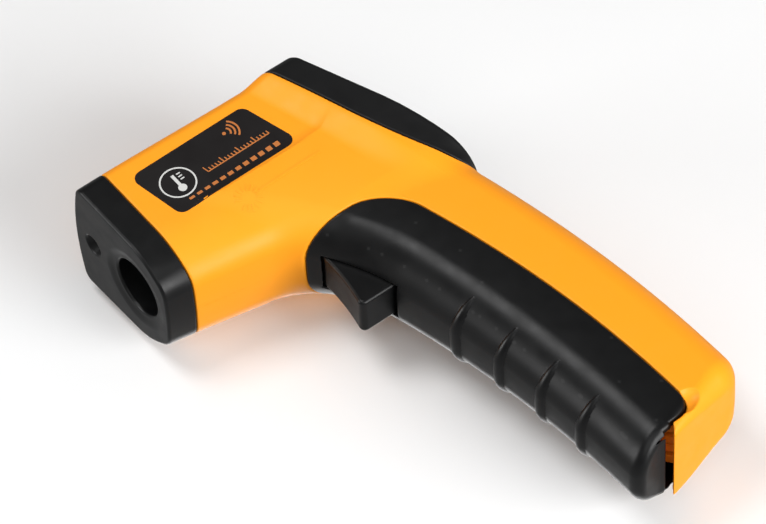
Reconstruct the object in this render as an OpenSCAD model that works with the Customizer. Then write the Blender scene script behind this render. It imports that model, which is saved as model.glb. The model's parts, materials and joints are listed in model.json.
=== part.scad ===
// Handheld infrared thermometer with pistol grip.
// Origin: centre of the infrared aperture on the nose face.
// +X points out of the nose along the sensing axis, +Y to the user's left, +Z up.

/* [Head] */
// Half-width of the nose face at its upper side edge
nose_half_w = 17.9; // [16.5:0.1:18.2]
// Half-width of the head where it meets the rear bezel
head_half_w = 21.5; // [20:0.1:22]
// Height of the top side edges above the sensing axis
head_top = 23.4; // [22.5:0.1:23.8]
// Fall of those edges from the nose to the rear bezel
top_fall = 1.7; // [1:0.1:2]
// Rise of the crowned top over its side edges
top_crown = 3.2; // [1.5:0.1:4]
// Depth of the nose underside below the sensing axis
nose_bottom = 13.1; // [12:0.1:14]
// Length of the black nose cap
cap_len = 8; // [7:0.1:9]
// Wall of the moulded shells
wall = 2; // [1.8:0.1:2.2]

/* [Grip] */
// Height of the grip end below the sensing axis
grip_end = 127.5; // [125:0.5:130]
// Depth of the grip, front to back, at its top
grip_depth = 41.3; // [40:0.1:43]
// Half-width of the grip at its top
grip_half_w_top = 16.4; // [16:0.1:17]
// Half-width of the grip at its end
grip_half_w_end = 13.9; // [13.6:0.1:15]

/* [Rear] */
// Lean of the display face from the vertical, in degrees
rear_lean = 20.9; // [20:0.1:22]
// Width of the display opening
window_w = 30; // [26:0.5:31]
// Height of the display opening
window_h = 19; // [16:0.5:20]
// Travel of the two push buttons
button_travel = 0.8; // [0.5:0.1:1]

/* [Sensing] */
// Radius of the infrared aperture in the nose
aperture_r = 8.3; // [7.5:0.1:8.5]
// Radius of the laser opening in the nose
laser_hole_r = 1.6; // [1.2:0.1:2]
// Height of the laser beam over the sensing axis
laser_z = 18; // [17.5:0.1:18.2]

/* [Trigger] */
// Width of the trigger
trigger_w = 11.6; // [11:0.1:12]
// Radius of the trigger and door hinge pins
pin_r = 1.25; // [1:0.05:1.4]
// Radial running clearance on the pins
pin_clear = 0.05; // [0.02:0.01:0.1]

/* [Battery] */
// Radius of an AAA cell
cell_r = 5.25; // [5.1:0.05:5.3]
// Length of an AAA cell without its terminal button
cell_len = 43.3; // [42.5:0.1:43.6]

/* [Hidden] */

orange = "darkorange";
black = [0.11, 0.11, 0.12];
arc_steps = 3;
seam = 0.1;
joint_gap = 0.25;
far = 200;

// ---- driving curves of the outer skin ----

// Position and slope of the joint between the head and the rear bezel, at the top edge
bezel_x = -58.6;
bezel_slope = 0.32;
// Rear face: a leaning plane through this point on the sensing axis
rear_x = -75.4;
// Heights between which the grip follows its gentle curve
grip_ref_z = -30;
// The grip's end face rises towards the back from this x
grip_heel_x = -69;
end_tilt = 0.23;

function ease(t) = let(c = min(1, max(0, t))) c * c * (3 - 2 * c);

// x of the grip's front and back along its centre line, at height z
function grip_u(z) = grip_ref_z - z;
function grip_curve(z) = 0.0015 * grip_u(z) * grip_u(z);
function throat(z) = let(t = max(0, (z + 45) / 23)) 4.5 * t * t;
function grip_front(z) = -43.6 - 0.285 * grip_u(z) + grip_curve(z) + throat(z);
function grip_back(z) = -43.6 - grip_depth - 0.262 * grip_u(z) + grip_curve(z);
function grip_half_w(z) = let(t = min(1, max(0, (-22 - z) / 100)))
    grip_half_w_top + (grip_half_w_end - grip_half_w_top) * pow(t, 0.8);

// ---- rounded outlines and lofted skins ----

// Fillet points at corner p between its neighbours a and b
function corner_arc(p, a, b, r) = let(
    u = (a - p) / norm(a - p), v = (b - p) / norm(b - p),
    half = acos(u * v) / 2, m = (u + v) / norm(u + v),
    c = p + m * r / sin(half),
    s = p + u * r / tan(half) - c, e = p + v * r / tan(half) - c,
    a0 = atan2(s[1], s[0]), sweep = ((atan2(e[1], e[0]) - a0 + 540) % 360) - 180)
    [for (i = [0 : arc_steps]) c + r * [cos(a0 + sweep * i / arc_steps), sin(a0 + sweep * i / arc_steps)]];

function rounded(pts, radii) = let(n = len(pts))
    [for (i = [0 : n - 1]) each corner_arc(pts[i], pts[(i + n - 1) % n], pts[(i + 1) % n], radii[i])];

// Closed surface through a list of sections that have the same number of points
module skin(sections) {
    n = len(sections[0]);
    m = len(sections);
    polyhedron(points = [for (s = sections) each s], faces = concat(
        [[for (i = [n - 1 : -1 : 0]) i], [for (i = [0 : n - 1]) (m - 1) * n + i]],
        [for (j = [0 : m - 2]) for (i = [0 : n - 1]) let(k = (i + 1) % n, a = j * n, b = a + n)
            each [[a + i, a + k, b + k], [a + i, b + k, b + i]]]));
}

// Section of the head at station s (0 at the nose face, 1 at the bezel joint), drawn inset
function head_section(s, inset) = let(
    flare = ease((s - 0.86) / 0.14),
    side = nose_half_w + 1.6 * min(s, 1) - inset,
    top_w = side + (head_half_w - nose_half_w - 1.6) * flare,
    mid_w = side - 0.9 + (head_half_w - nose_half_w - 0.9) * flare,
    drop = nose_bottom + 14.5 * pow(min(s, 1), 1.25) - inset,
    low_w = 10.8 + 4 * min(s, 1) - inset * 0.6,
    shoulder = -3.8 - 11 * min(s, 1),
    top = head_top - top_fall * ease(s) - inset,
    pts = [[0, -drop - 0.7], [low_w, -drop], [mid_w, shoulder], [top_w, top],
           [0, head_top + top_crown - inset], [-top_w, top], [-mid_w, shoulder], [-low_w, -drop]],
    radii = [20, 7, 7, max(0.8, 2.6 - inset), 45, max(0.8, 2.6 - inset), 7, 7],
    slope = bezel_slope * ease(s))
    [for (p = rounded(pts, radii)) [bezel_x * s + slope * (p[1] - head_top + top_fall), p[0], p[1]]];

// Horizontal section of the grip at height z, drawn inset
// (tilt lifts its back half, heel pulls its back edge forwards)
function grip_section(z, inset, tilt = 0, heel = 0) = let(
    f = grip_front(z) - inset, b = grip_back(z) + inset + heel, w = grip_half_w(z) - inset,
    depth = f - b, front_r = 10 - inset, back_r = 8 - inset,
    pts = [[f, 0], [f - 1.4, w * 0.86], [f - depth * 0.55, w], [b + 1, w * 0.95],
           [b, 0], [b + 1, -w * 0.95], [f - depth * 0.55, -w], [f - 1.4, -w * 0.86]],
    radii = [12, front_r, 40, back_r, 25, back_r, 40, front_r])
    [for (p = rounded(pts, radii)) [p[0], p[1], z + tilt * max(0, grip_heel_x - p[0])]];

module head_skin(inset) {
    first = inset > 0 ? 0.03 : 0;
    skin([for (s = [first, 0.135, 0.3, 0.45, 0.6, 0.75, 0.86, 0.91, 0.96, 1, 1.42]) head_section(s, inset)]);
}

module grip_skin(inset) {
    last = -grip_end + inset;
    skin(concat(
        [for (z = [-4, -14, -22, -27, -33, -40, -50, -62, -76, -90, -104, -113]) grip_section(z, inset)],
        [for (k = [1 : 4]) let(a = k * 22.5)
            grip_section(last + 8 * (1 - sin(a)), inset + 2.2 * (1 - cos(a)) * (k / 4),
                         end_tilt * sin(a), 5.5 * (1 - cos(a)))]));
}

// Region between two long side-view outlines, drawn in x and z and spread across the width
module side_slab(pts, half = 30) {
    rotate([90, 0, 0]) linear_extrude(height = 2 * half, center = true) polygon(pts);
}

// Everything in front of the leaning display face. Below its lower end the region opens backwards, clear of the grip
module front_of_face(inset = 0) {
    low = -46;
    rear_low = rear_x - tan(rear_lean) * -low;
    side_slab([[far, far], [far, -far], [-far, -far], [-far, low - 20], [rear_low + inset, low],
               [rear_x + tan(rear_lean) * 60 + inset, 60], [rear_x + tan(rear_lean) * 60 + inset, far]]);
}

module body_solid(inset = 0) {
    intersection() {
        union() {
            head_skin(inset);
            grip_skin(inset);
        }
        front_of_face(inset);
    }
}

// ---- cutting regions in the side view ----

// Everything behind the joint line of the rear bezel
bezel_line = [[bezel_x + bezel_slope * 20, head_top - top_fall + 20], [bezel_x, head_top - top_fall],
              [-66.2, -1.4], [-68.8, -8.3], [-72.3, -15.1], [-75.9, -21.1], [-79.7, -27.3], [-83.8, -32.2],
              [-90, -34.8]];
module bezel_zone(shift = 0) {
    translate([shift, 0, 0]) side_slab(concat(bezel_line, [[-130, -34.8], [-130, 60], [-40, 60]]));
}

door_pivot = [-65.45, 0, -123];
// The door's lower lip meets the shells on an arc round its hinge, so it clears them as it swings
swing_r = 5.3;
function swing_point(a) = [door_pivot[0] - swing_r * cos(a), door_pivot[2] - swing_r * sin(a)];

// Everything in front of the joint line of the battery door
door_line = [[-30, -21.6], [-40, -22.5], [-45, -23], [-50.5, -23.5], [-57, -25.7], [-61.6, -29.8],
             [-65.2, -37], [-67.6, -46],
             [-72.4, -66], [-76.2, -90], [-77.3, -111], [-76.9, -119.6], [-75.2, -123], [-72.6, -124.4],
             for (a = [21, 31, 41, 51, 59]) swing_point(a), [swing_point(59)[0], -140]];
module door_zone(shift = 0) {
    rotate([90, 0, 0]) linear_extrude(height = 60, center = true)
        offset(delta = -shift) polygon(concat(door_line, [[-10, -140], [-10, -21.6]]));
}

module half_space(side) {
    translate([-far, side > 0 ? -seam / 2 : -far, -far]) cube([2 * far, far + seam / 2, 2 * far]);
}

// ---- joint and fixing positions ----

trigger_pivot = [-43.8, 0, -16.6];
screw_spots = [[-30, -14.6], [-50, 17], [-84.5, -52], [-88, -117]];
screw_r = 1.2;
boss_r = 2.9;

// Screw bosses and the trigger pin bosses of one shell half
module shell_bosses(side) {
    for (p = screw_spots)
        hull() for (dx = [-0.6, 0.6]) translate([p[0] + dx, 0, p[1]])
            rotate([side > 0 ? -90 : 90, 0, 0]) cylinder(r = boss_r - 0.3, h = 26, $fn = 32);
    for (a = [0 : 3])
        hull() for (r = [0, 4.2])
            translate(trigger_pivot)
                translate([r * cos(45 + 90 * a), side * (trigger_w / 2 + 0.4), r * sin(45 + 90 * a) * 0.55])
                rotate([side > 0 ? -90 : 90, 0, 0]) cylinder(r = 1.1, h = 20, $fn = 12);
    translate(trigger_pivot + [0, side * (trigger_w / 2 + 0.4), 0])
        rotate([side > 0 ? -90 : 90, 0, 0]) cylinder(r = 3, h = 20, $fn = 32);
}

module shell_half(side) {
    color(orange) difference() {
        union() {
            difference() {
                body_solid();
                body_solid(wall);
                nose_zone();
                bezel_zone();
                door_zone();
            }
            intersection() {
                body_solid(0.6);
                difference() {
                    shell_bosses(side);
                    nose_zone();
                    bezel_zone(1);
                }
            }
            hinge_ears(side);
        }
        half_space(-side);
        translate(trigger_pivot) rotate([90, 0, 0]) cylinder(r = pin_r + 0.08, h = 22.4, center = true, $fn = 32);
        translate(door_pivot) rotate([90, 0, 0]) cylinder(r = pin_r + 0.08, h = 60, center = true, $fn = 32);
        for (p = screw_spots) translate([p[0], 0, p[1]]) rotate([90, 0, 0]) {
            cylinder(r = screw_r + 0.12, h = 18, center = true, $fn = 32);
            translate([0, 0, 9]) cylinder(r = 2.7, h = 20, $fn = 32);
        }
        label_pocket(side);
        laser_mark(side);
    }
}

// Ears that carry the door's hinge pin. They arch over the space that the door's lip swings through
ear_w = 3;
ear_path = [[0, 0, 2], [-4.2, 6.2, 1.3], [-10, -0.6, 1.3]];
module hinge_ears(side) {
    for (y = [0.2, 4.6]) translate(door_pivot + [0, side > 0 ? y : -y - ear_w, 0])
        for (i = [0, 1]) hull() for (p = [ear_path[i], ear_path[i + 1]])
            translate([p[0], 0, p[1]]) rotate([-90, 0, 0]) cylinder(r = p[2], h = ear_w, $fn = 32);
}

module nose_zone() {
    translate([-cap_len - joint_gap / 2, -40, -40]) cube([40, 80, 80]);
}

module left_shell() { shell_half(1); }
module right_shell() { shell_half(-1); }

// ---- recessed graphics of the side panels ----

// Outline of the side label, a leaning rounded parallelogram, in x and z
label_corners = [[-12.2, 17.2], [-47.6, 17.2], [-52.4, -0.4], [-15.6, -0.4]];
side_spread = 0.0267;
side_lean = 0.0315;

module label_shape(grow = 0) {
    offset(r = 2.6 + grow, $fn = 24) offset(delta = -2.6) polygon(label_corners);
}

// Turns a flat drawing in x and z onto the side panel, standing out by the given height
module on_side(side, lift, h) {
    mirror([0, side > 0 ? 0 : 1, 0]) translate([0, nose_half_w - 0.7 + lift, 0])
        rotate([0, 0, -atan(side_spread)]) rotate([90 - atan(side_lean), 0, 0])
            translate([0, 0, -h]) linear_extrude(height = h) children();
}

module label_pocket(side) {
    on_side(side, -0.3, 4) label_shape(0.2);
}

module side_label(side) {
    color(black) on_side(side, -0.25, 0.3) label_shape();
}
module left_label() { side_label(1); }
module right_label() { side_label(-1); }

// Ray mark with a long line, pressed into the side panel under the label
module laser_mark(side) {
    on_side(side, -0.35, 4) {
        for (a = [20 : 24 : 340]) translate([-31.7, -6.8]) rotate(a) translate([2, -0.2]) square([1.8, 0.4]);
        translate([-54, -7]) square([19, 0.4]);
    }
}

// ---- nose ----

spigot_len = 3;

module nose_cap() {
    color(black) difference() {
        union() {
            intersection() {
                skin([head_section(0, 0.5), head_section(0.003, 0.15), head_section(0.01, 0), head_section(0.3, 0)]);
                translate([-cap_len + joint_gap / 2, -40, -40]) cube([40, 80, 80]);
            }
            translate([-cap_len - spigot_len, 0, 0]) rotate([0, 90, 0]) cylinder(r = 11.2, h = 6, $fn = 64);
        }
        translate([-20, 0, 0]) rotate([0, 90, 0]) cylinder(r = aperture_r, h = 30, $fn = 96);
        translate([-20, 0, 0]) rotate([0, 90, 0]) cylinder(r = 10.1, h = 12.5, $fn = 96);
        translate([-20, 0, laser_z]) rotate([0, 90, 0]) cylinder(r = laser_hole_r, h = 30, $fn = 48);
        translate([-2.2, 0, laser_z]) rotate([0, 90, 0])
            cylinder(r1 = laser_hole_r, r2 = 3.4, h = 2.6, $fn = 48);
        translate([-20, 0, laser_z]) rotate([0, 90, 0]) cylinder(r = 3.1, h = 14.6, $fn = 48);
        rotate([0, 90, 0]) rotate_extrude($fn = 96) translate([9.6, 0.9]) circle(r = 1.3, $fn = 32);
        for (side = [-1, 1]) translate([-cap_len - 0.1, side * 13 - 1.5, 2]) cube([3.4, 3, 9]);
    }
}

// ---- rear display group, drawn on the leaning face: x up the face, y to the left, z outwards ----

module on_rear_face() {
    translate([rear_x, 0, 0]) rotate([0, -(90 - rear_lean), 0]) children();
}

window_mid = 11.5;
button_x = -8.5;
button_y = 8.5;
button_long = 11;
button_short = 7.4;
face_wall = 2.4;
// Underside of the buttons' retaining flange, and the free play over a dome at full travel
button_flange = -3.9;
dome_play = 0.5;

module oval(long, short, h) {
    straight = (long - short) / 2;
    for (y = [-straight, straight]) translate([0, y, 0]) cylinder(r = short / 2, h = h, $fn = 48);
    translate([-short / 2, -straight, 0]) cube([short, 2 * straight, h]);
}

module rear_bezel() {
    color(black) difference() {
        intersection() {
            body_solid();
            translate([-joint_gap, 0, 0]) bezel_zone();
        }
        intersection() {
            body_solid(wall);
            front_of_face(face_wall / cos(rear_lean));
        }
        on_rear_face() {
            translate([window_mid - window_h / 2, -window_w / 2, -5]) cube([window_h, window_w, 10]);
            translate([window_mid - window_h / 2 - 1.2, -window_w / 2 - 1.2, -1.5])
                cube([window_h + 2.4, window_w + 2.4, 5]);
            for (y = [-button_y, button_y]) translate([button_x, y, -5])
                oval(button_long + 0.4, button_short + 0.4, 10);
        }
    }
}

module display_window() {
    color([0.75, 0.8, 0.8, 0.4]) on_rear_face() union() {
        translate([window_mid - window_h / 2 - 1.1, -window_w / 2 - 1.1, -1.5])
            cube([window_h + 2.2, window_w + 2.2, 1.1]);
        translate([window_mid - window_h / 2 + 0.15, -window_w / 2 + 0.15, -2.2])
            cube([window_h - 0.3, window_w - 0.3, 0.8]);
    }
}

module lcd_panel() {
    color([0.62, 0.68, 0.6]) on_rear_face() union() {
        translate([window_mid - 11.3, -16.4, -5.2]) cube([22, 32.8, 1.1]);
        translate([window_mid - 10, -16, -4.1]) cube([20, 32, 1.1]);
    }
}

module lcd_backlight() {
    color("white") on_rear_face() difference() {
        translate([window_mid - 9, -16, -8.2]) cube([18, 32, 2.8]);
        for (y = [-12, 12]) translate([window_mid, y, -9]) cylinder(r = 1, h = 2.2, $fn = 32);
    }
}

module zebra_strips() {
    color([0.85, 0.5, 0.55]) on_rear_face()
        for (x = [window_mid - 11.2, window_mid + 9.4]) translate([x, -15, -8.5]) cube([1.8, 30, 3.2]);
}

board_z = -10.2;
board_t = 1.6;
dome_base = 2.5;

module main_board() {
    color("seagreen") on_rear_face() difference() {
        union() {
            translate([-8, -16.4, board_z]) cube([30.5, 32.8, board_t]);
            translate([-19, -12.4, board_z]) cube([11.5, 24.8, board_t]);
        }
        for (x = [-5, 20]) for (y = [-14.6, 14.6])
            translate([x, y, board_z - 1]) cylinder(r = 1.1, h = 4, $fn = 32);
    }
}

module chip(x, y, l, w, h) {
    translate([x - l / 2, y - w / 2, board_z - h - 0.02]) cube([l, w, h]);
    for (i = [-2 : 2])
        translate([x + i * l / 6 - 0.2, y - w / 2 - 0.8, board_z - h * 0.5]) cube([0.4, w + 1.6, h * 0.45]);
}

module board_chips() {
    color([0.16, 0.16, 0.17]) on_rear_face() {
        chip(10, 0, 12, 12, 1.8);
        chip(-6, -8, 5, 4, 1.5);
        chip(-6, 6, 5, 4, 1.5);
        translate([-14, 0, board_z - 3.2]) cylinder(r = 1.5, h = 3.1, $fn = 32);
    }
}

module dome_switches() {
    color("silver") on_rear_face() for (y = [-button_y, button_y]) translate([button_x, y, 0]) {
        translate([-3, -3, board_z + board_t + 0.02]) cube([6, 6, 2.6]);
        translate([0, 0, board_z + board_t + dome_base])
            cylinder(r = 1.6, h = button_flange - button_travel - dome_play - board_z - board_t - dome_base, $fn = 32);
    }
}

module push_button(y) {
    top = 1.1;
    on_rear_face() translate([button_x, y, 0]) {
        translate([0, 0, -3]) oval(button_long, button_short, 3 + top - 0.6);
        translate([0, 0, top - 0.7]) oval(button_long - 1.2, button_short - 1.2, 0.7);
        translate([0, 0, button_flange]) oval(button_long + 2.4, button_short + 2.4, 1);
    }
}
module mode_button() { color([0.25, 0.25, 0.27]) push_button(button_y); }
module light_button() { color([0.25, 0.25, 0.27]) push_button(-button_y); }

// ---- battery door: the black grip cover ----

slot_half_w = trigger_w / 2 + 0.45;
slot_low = -45.2;
ridge_z = [-65, -79.2, -93.3, -107.4];

// Outline of a finger ridge: a low rounded rib that follows the grip's front
module ridge(z) {
    x = grip_front(z);
    hull() for (a = [-58, -30, 0, 30, 58])
        translate([x - 11.4 + 11.4 * cos(a), 12.6 * sin(a), z + 1.8 * (1 - cos(a))])
            sphere(r = a == 0 ? 1.35 : 1.2, $fn = 12);
}

module battery_door() {
    color(black) difference() {
        union() {
            difference() {
                intersection() {
                    union() {
                        body_solid();
                        intersection() {
                            for (z = ridge_z) ridge(z);
                            translate([-70, -40, -130]) cube([60, 80, 110]);
                        }
                    }
                    door_zone(joint_gap);
                }
                body_solid(wall);
            }
            for (side = [-1, 1]) intersection() {
                translate(door_pivot + [0, side * 9.8, 0]) hull() for (d = [[0, 0], [3.4, 1.4]])
                    translate([d[0], 0, d[1]]) rotate([90, 0, 0]) cylinder(r = 2.4, h = 3.6, center = true, $fn = 32);
                body_solid();
            }
        }
        translate(door_pivot) rotate([90, 0, 0])
            cylinder(r = pin_r + 0.09, h = door_pin_len + 0.6, center = true, $fn = 48);
        translate([-60, -slot_half_w, slot_low]) cube([40, 2 * slot_half_w, -26.3 - slot_low]);
        translate([-60, -slot_half_w, slot_low])
            cube([60 + trigger_front_top[0] + 0.5, 2 * slot_half_w, -18.2 - slot_low]);
        translate([door_pivot[0] - 6, -7.95, door_pivot[2] - 2.25]) cube([8.7, 15.9, 8]);
        translate([-85, -11.4, -124.95]) cube([85 + door_pivot[0] - 2.8, 22.8, 9]);
    }
}

door_pin_len = 20.8;
module door_pin() {
    color("silver") translate(door_pivot) rotate([90, 0, 0])
        cylinder(r = pin_r, h = door_pin_len, center = true, $fn = 48);
}

// ---- trigger group ----

trigger_front_top = [-39.9, -26.4];
trigger_front_low = [-37.7, -43.9];
trigger_rear_low = [-50.2, -43.9];

module trigger_outline() {
    offset(r = 1, $fn = 32) offset(delta = -1)
        polygon([[-41.2, -15], trigger_front_top, trigger_front_low, trigger_rear_low, [-47.6, -28], [-46.6, -15]]);
}

module trigger() {
    color(black) difference() {
        union() {
            rotate([90, 0, 0]) linear_extrude(height = trigger_w, center = true) trigger_outline();
            translate(trigger_pivot) rotate([90, 0, 0]) cylinder(r = 3, h = trigger_w, center = true, $fn = 48);
        }
        translate(trigger_pivot) rotate([90, 0, 0]) cylinder(r = pin_r + pin_clear, h = 40, center = true, $fn = 48);
        translate([-52, -trigger_w / 2 + 1.6, -43.2]) cube([9.5, trigger_w - 3.2, 11]);
    }
}

module trigger_pin() {
    color("silver") translate(trigger_pivot) rotate([90, 0, 0]) cylinder(r = pin_r, h = 22, center = true, $fn = 48);
}

plunger_z = -27.2;
plunger_front = -47.9;
switch_front = -51;

module switch_plunger() {
    color([0.75, 0.2, 0.15]) translate([switch_front - 2, 0, plunger_z]) rotate([0, 90, 0]) union() {
        cylinder(r = 1.3, h = plunger_front - switch_front + 1.4, $fn = 32);
        translate([0, 0, plunger_front - switch_front + 1.2]) cylinder(r1 = 1.3, r2 = 0.9, h = 0.6, $fn = 32);
    }
}

module switch_body() {
    color([0.2, 0.2, 0.22]) difference() {
        translate([switch_front - 6.6, -6, plunger_z - 3]) cube([6.6, 12, 6]);
        translate([switch_front - 5, 0, plunger_z]) rotate([0, 90, 0]) cylinder(r = 1.35, h = 6, $fn = 32);
    }
}

module switch_board() {
    color("seagreen") difference() {
        translate([switch_front - 8.3, -9, plunger_z - 5]) cube([1.6, 18, 10]);
        for (y = [-7, 7])
            translate([switch_front - 10, y, plunger_z]) rotate([0, 90, 0]) cylinder(r = 1, h = 5, $fn = 32);
    }
}

// Carrier that holds the switch board and seats the return spring
module switch_bracket() {
    back = switch_front - 10.2;
    color([0.2, 0.2, 0.22]) difference() {
        union() {
            translate([back, -11.5, plunger_z - 15]) cube([1.8, 23, 20.5]);
            translate([back, 0, spring_z]) rotate([0, 90, 0]) cylinder(r = 3.6, h = 7.6, $fn = 64);
        }
        translate([back + 6.2, 0, spring_z]) rotate([0, 90, 0]) cylinder(r = 2.85, h = 3, $fn = 64);
    }
}

// Return spring between the trigger's hollow back and the switch carrier
spring_z = -37.5;
spring_back = switch_front - 3.6;
spring_len = 12.6;
module coil(r, wire_r, length, turns) {
    step = length / turns;
    for (i = [0 : turns - 1]) translate([i * step, 0, 0]) rotate([0, 90, 0])
        rotate_extrude($fn = 32) translate([r, 0]) circle(r = wire_r, $fn = 16);
    for (i = [0 : turns - 2]) translate([i * step, 0, i % 2 == 0 ? r : -r]) rotate([0, 90, 0])
        cylinder(r = wire_r * 0.8, h = step, $fn = 16);
}

module trigger_spring() {
    color("silver") translate([spring_back, 0, spring_z]) coil(2.4, 0.3, spring_len, 7);
}

// ---- sensing group ----

module tube(x, length, outer, inner) {
    translate([x, 0, 0]) rotate([0, 90, 0]) difference() {
        cylinder(r = outer, h = length, $fn = 96);
        translate([0, 0, -1]) cylinder(r = inner, h = length + 2, $fn = 96);
    }
}

barrel_front = -7.7;
barrel_back = -33;

module sensor_barrel() {
    color(black) union() {
        tube(barrel_front - 1.2, 1.2, 9.9, 8.75);
        tube(-16, 16 + barrel_front - 1.2, 9.9, 9.1);
        tube(-24, 8.05, 9.3, 7.4);
        tube(barrel_back, 9.05, 8.4, 5.2);
    }
}

module sensor_lens() {
    color([0.9, 0.92, 0.9, 0.8]) translate([-15.8, 0, 0]) rotate([0, 90, 0]) union() {
        cylinder(r = 9, h = 0.6, $fn = 96);
        for (i = [1 : 4]) translate([0, 0, 0.55]) difference() {
            cylinder(r = 1.6 * i, h = 0.25, $fn = 96);
            translate([0, 0, -1]) cylinder(r = 1.6 * i - 0.7, h = 3, $fn = 96);
        }
    }
}

module thermopile() {
    color("silver") union() {
        translate([-32.6, 0, 0]) rotate([0, 90, 0]) cylinder(r = 4.1, h = 4.6, $fn = 64);
        translate([-33.9, 0, 0]) rotate([0, 90, 0]) cylinder(r = 4.7, h = 0.8, $fn = 64);
        translate([-33.2, 0, 0]) rotate([0, 90, 0]) cylinder(r = 4.1, h = 1, $fn = 64);
        for (a = [45 : 90 : 315]) translate([-37.4, 2.6 * cos(a), 2.6 * sin(a)]) rotate([0, 90, 0])
            cylinder(r = 0.25, h = 3.8, $fn = 16);
    }
}

module sensor_board() {
    color("seagreen") difference() {
        translate([-35.8, -8, -8]) cube([1.4, 16, 16]);
        for (a = [45 : 90 : 315]) translate([-37, 2.6 * cos(a), 2.6 * sin(a)]) rotate([0, 90, 0])
            cylinder(r = 0.35, h = 5, $fn = 16);
    }
}

module on_laser_axis() { translate([0, 0, laser_z]) rotate([0, 90, 0]) children(); }

module laser_module() {
    color([0.72, 0.58, 0.3]) on_laser_axis() difference() {
        translate([0, 0, -19]) cylinder(r = 3, h = 13, $fn = 64);
        translate([0, 0, -8.2]) cylinder(r = 2.2, h = 5, $fn = 64);
    }
}

module laser_lens() {
    color([0.8, 0.85, 0.9, 0.7]) on_laser_axis() union() {
        translate([0, 0, -8.15]) cylinder(r = 2.1, h = 1, $fn = 64);
        translate([0, 0, -7.2]) cylinder(r1 = 1.6, r2 = 0.9, h = 0.5, $fn = 64);
    }
}

module laser_collar() {
    color([0.2, 0.2, 0.22]) difference() {
        translate([-17.6, -5.5, laser_z - 4.2]) cube([4, 11, 6.6]);
        on_laser_axis() translate([0, 0, -19]) cylinder(r = 3.06, h = 12, $fn = 64);
        translate([-20, 0, 0]) rotate([0, 90, 0]) cylinder(r = 12, h = 12, $fn = 64);
    }
}

// ---- battery group, on a line tilted with the grip ----

tray_tilt = 6.5;
tray_mid = [-72.6, 0, -85];
tray_half_w = 11.5;
cell_y = cell_r + 0.05;
tray_len = 53;
cell_gap = 0.3;

module on_tray() { translate(tray_mid) rotate([0, tray_tilt, 0]) children(); }

module battery_tray() {
    color([0.15, 0.15, 0.16]) on_tray() difference() {
        translate([-cell_r - 2.4, -tray_half_w, -tray_len / 2]) cube([cell_r + 3.4, 2 * tray_half_w, tray_len]);
        for (side = [-1, 1]) translate([0, side * cell_y, -tray_len / 2 + 1.2])
            cylinder(r = cell_r + cell_gap, h = tray_len - 2.4, $fn = 96);
        translate([0, -tray_half_w + 0.6, -tray_len / 2 + 1.2]) cube([20, 2 * tray_half_w - 1.2, tray_len - 2.4]);
    }
}

module cell(side) {
    flip = side > 0 ? 0 : 180;
    on_tray() translate([0, side * cell_y, side > 0 ? 1.1 : -1.1]) rotate([flip, 0, 0]) union() {
        translate([0, 0, -cell_len / 2]) cylinder(r = cell_r, h = cell_len, $fn = 96);
        translate([0, 0, cell_len / 2]) cylinder(r = 1.9, h = 1.1, $fn = 48);
        translate([0, 0, -cell_len / 2 - 0.15]) cylinder(r = 4.2, h = 0.3, $fn = 64);
    }
}
module battery_left() { color([0.25, 0.3, 0.35]) cell(1); }
module battery_right() { color([0.25, 0.3, 0.35]) cell(-1); }

module battery_springs() {
    color("silver") on_tray() for (side = [-1, 1])
        translate([0, side * cell_y, side * -(tray_len / 2 - 1.95)]) rotate([0, side > 0 ? -90 : 90, 0])
            coil(3, 0.28, 3.3, 4);
}

module battery_plates() {
    color("silver") on_tray() {
        for (side = [-1, 1]) {
            translate([-3.8, side * cell_y - 4, side * (tray_len / 2 - 1.55) - 0.2]) cube([7.6, 8, 0.4]);
            translate([-3.8, side * cell_y - 4, -side * (tray_len / 2 - 1.45) - 0.2]) cube([7.6, 8, 0.35]);
        }
    }
}

// ---- leads: straight runs joined by round bends ----

bend_swell = 1.12;
module lead(path, r) {
    for (i = [0 : len(path) - 2]) let(d = path[i + 1] - path[i]) translate(path[i])
        rotate([0, acos(d[2] / norm(d)), atan2(d[1], d[0])]) cylinder(r = r, h = norm(d), $fn = 24);
    for (i = [1 : 1 : len(path) - 2]) translate(path[i]) sphere(r = r * bend_swell, $fn = 24);
}

// World position of a point given on the leaning rear face
function rear_point(up, left, out) =
    [rear_x + up * sin(rear_lean) - out * cos(rear_lean), left, up * cos(rear_lean) + out * sin(rear_lean)];

module battery_leads() {
    for (side = [-1, 1]) color(side > 0 ? "firebrick" : "black")
        lead([[-76, side * 4, -56.4], [-74, side * 5, -36], rear_point(-14, side * 6, board_z - 0.8)], 0.6);
}

module sensor_leads() {
    color("gold") for (y = [-3, -1, 1, 3])
        lead([[-36.4, y, 6], [-46, y, 9], rear_point(0, y, board_z - 0.6)], 0.4);
}

module laser_leads() {
    for (side = [-1, 1]) color(side > 0 ? "crimson" : "black")
        lead([[-19.6, side * 1.1, laser_z - 0.2], rear_point(4, side * 9, board_z - 0.6)], 0.4);
}

module shell_screws() {
    color("silver") for (p = screw_spots) translate([p[0], 0, p[1]]) rotate([90, 0, 0]) difference() {
        union() {
            translate([0, 0, -7]) cylinder(r = screw_r, h = 16.5, $fn = 32);
            translate([0, 0, 9.05]) cylinder(r = 2.4, h = 1.6, $fn = 48);
        }
        for (a = [0, 90]) rotate(a) translate([-1.5, -0.3, 9.9]) cube([3, 0.6, 2]);
    }
}

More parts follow.
